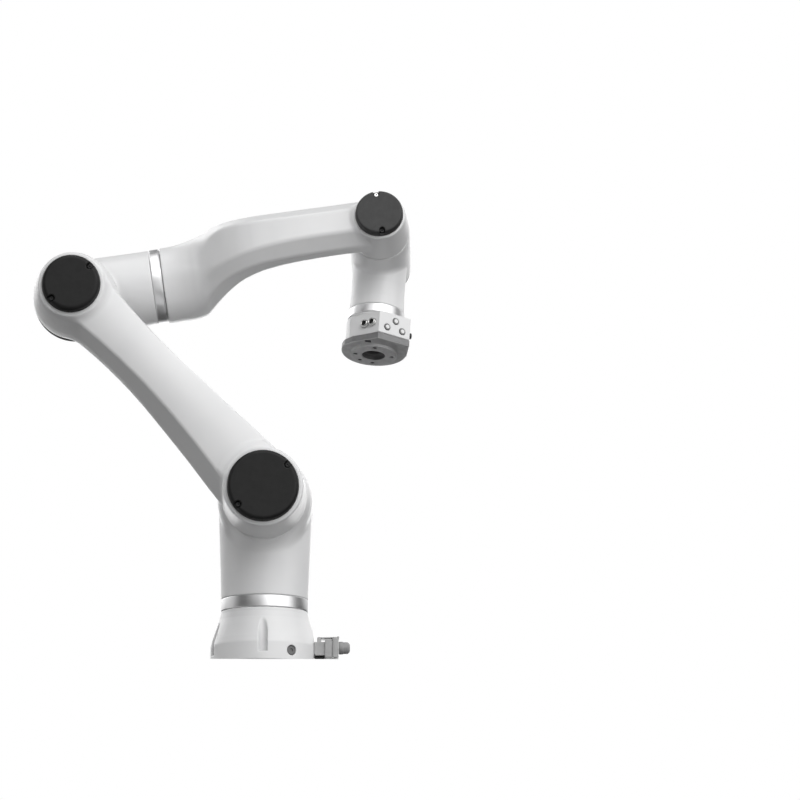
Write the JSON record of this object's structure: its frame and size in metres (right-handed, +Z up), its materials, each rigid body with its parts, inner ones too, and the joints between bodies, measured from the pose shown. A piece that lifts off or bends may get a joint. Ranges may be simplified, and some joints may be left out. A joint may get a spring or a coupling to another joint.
{
  "type": "robot arm",
  "caption": "Six-axis collaborative robot arm with an upright shoulder, a side-mounted lower arm, a swan-necked forearm, a hanging wrist and a round bolt-on tool flange.",
  "frame": {"origin": "centre of the underside of the base, on the first joint axis", "axes": "+Z up along the first joint axis; +X towards the cable connector on the base, the side the forearm reaches to at rest; -Y towards the side that carries the lower arm"},
  "size_m": [0.514, 0.2346, 0.6308],
  "materials": {
    "black_plastic": "fine matt black plastic",
    "cast_steel": "machined steel",
    "dark_metal": "dark matt metal",
    "grey_plastic": "matt grey plastic",
    "rubber": "matt black rubber",
    "satin_metal": "satin turned metal",
    "white_paint": "smooth light-grey to white paint on cast aluminium"
  },
  "bodies": {
    "base": {"base_bottom_cover": "dark_metal", "base_casting": "white_paint", "cable_gland": "black_plastic", "connector_gasket": "rubber", "connector_hood": "grey_plastic", "connector_lower_rail": "black_plastic", "connector_socket": "grey_plastic", "j1_brake": "dark_metal", "j1_gear_unit": "cast_steel", "j1_motor": "cast_steel", "j1_seal_ring": "satin_metal", "side_port_plug": "black_plastic"},
    "shoulder": {"j2_brake": "dark_metal", "j2_gear_unit": "cast_steel", "j2_motor": "cast_steel", "shoulder_back_cover": "black_plastic", "shoulder_housing": "white_paint"},
    "lower_arm": {"j2_cover": "black_plastic", "j2_cover_screw_1": "dark_metal", "j2_cover_screw_2": "dark_metal", "j3_cover": "black_plastic", "j3_cover_screw_1": "dark_metal", "j3_cover_screw_2": "dark_metal", "lower_arm_shell": "white_paint"},
    "elbow": {"elbow_back_cover": "black_plastic", "elbow_housing": "white_paint", "j3_gear_unit": "cast_steel", "j3_motor": "cast_steel", "j3_seal_ring": "rubber", "j4_gear_unit": "cast_steel", "j4_motor": "cast_steel", "j4_seal_ring": "satin_metal"},
    "forearm": {"forearm_shell": "white_paint", "j5_cover": "black_plastic", "j5_cover_screw_1": "satin_metal", "j5_cover_screw_2": "satin_metal", "j5_motor": "cast_steel"},
    "wrist": {"j5_gear_unit": "cast_steel", "j6_gear_unit": "cast_steel", "j6_motor": "cast_steel", "j6_seal_ring": "satin_metal", "wrist_back_cover": "black_plastic", "wrist_housing": "white_paint"},
    "tool_head": {"tool_connector_1": "satin_metal", "tool_connector_2": "satin_metal", "tool_flange": "dark_metal", "tool_head_body": "white_paint", "tool_side_lamp": "black_plastic"},
    "connector_latch": {"connector_lever": "dark_metal"},
    "button_1": {"button_1": "grey_plastic"},
    "button_2": {"button_2": "grey_plastic"},
    "button_3": {"button_3": "grey_plastic"}
  },
  "joints": [
    {"name": "joint_1_base", "type": "hinge", "parent": "base", "child": "shoulder", "pos_m": [0, 0, 0.0891], "axis": [0, 0, 1], "range_deg": [-185, 185]},
    {"name": "joint_2_shoulder", "type": "hinge", "parent": "shoulder", "child": "lower_arm", "pos_m": [0, 0, 0.22], "axis": [0, 1, 0], "range_deg": [-91.5, 178.5]},
    {"name": "joint_3_elbow", "type": "hinge", "parent": "lower_arm", "child": "elbow", "pos_m": [-0.25813, 0, 0.49201], "axis": [0, -1, 0], "range_deg": [-20, 275]},
    {"name": "joint_4_forearm", "type": "hinge", "parent": "elbow", "child": "forearm", "pos_m": [-0.26094, 0, 0.51081], "axis": [0.989, 0, 0.1478], "range_deg": [-169, 191]},
    {"name": "joint_5_wrist", "type": "hinge", "parent": "forearm", "child": "wrist", "pos_m": [0.15642, 0, 0.57318], "axis": [-0.0282, -0.9816, 0.1887], "range_deg": [-44.9, 249.1]},
    {"name": "joint_6_tool", "type": "hinge", "parent": "wrist", "child": "tool_head", "pos_m": [0.15642, 0, 0.57318], "axis": [-0.0654, -0.1866, -0.9803], "range_deg": [-360, 360]},
    {"name": "connector_latch_hinge", "type": "hinge", "parent": "base", "child": "connector_latch", "pos_m": [0.074, 0, 0.0362], "axis": [0, -1, 0], "range_deg": [0, 75]},
    {"name": "button_1_press", "type": "slide", "parent": "tool_head", "child": "button_1", "axis": [-0.4743, 0.8701, -0.1339], "range_m": [0, 0.001], "stiffness_N_per_m": 1200},
    {"name": "button_2_press", "type": "slide", "parent": "tool_head", "child": "button_2", "axis": [-0.4743, 0.8701, -0.1339], "range_m": [0, 0.001], "stiffness_N_per_m": 1200},
    {"name": "button_3_press", "type": "slide", "parent": "tool_head", "child": "button_3", "axis": [-0.4743, 0.8701, -0.1339], "range_m": [0, 0.001], "stiffness_N_per_m": 1200}
  ]
}
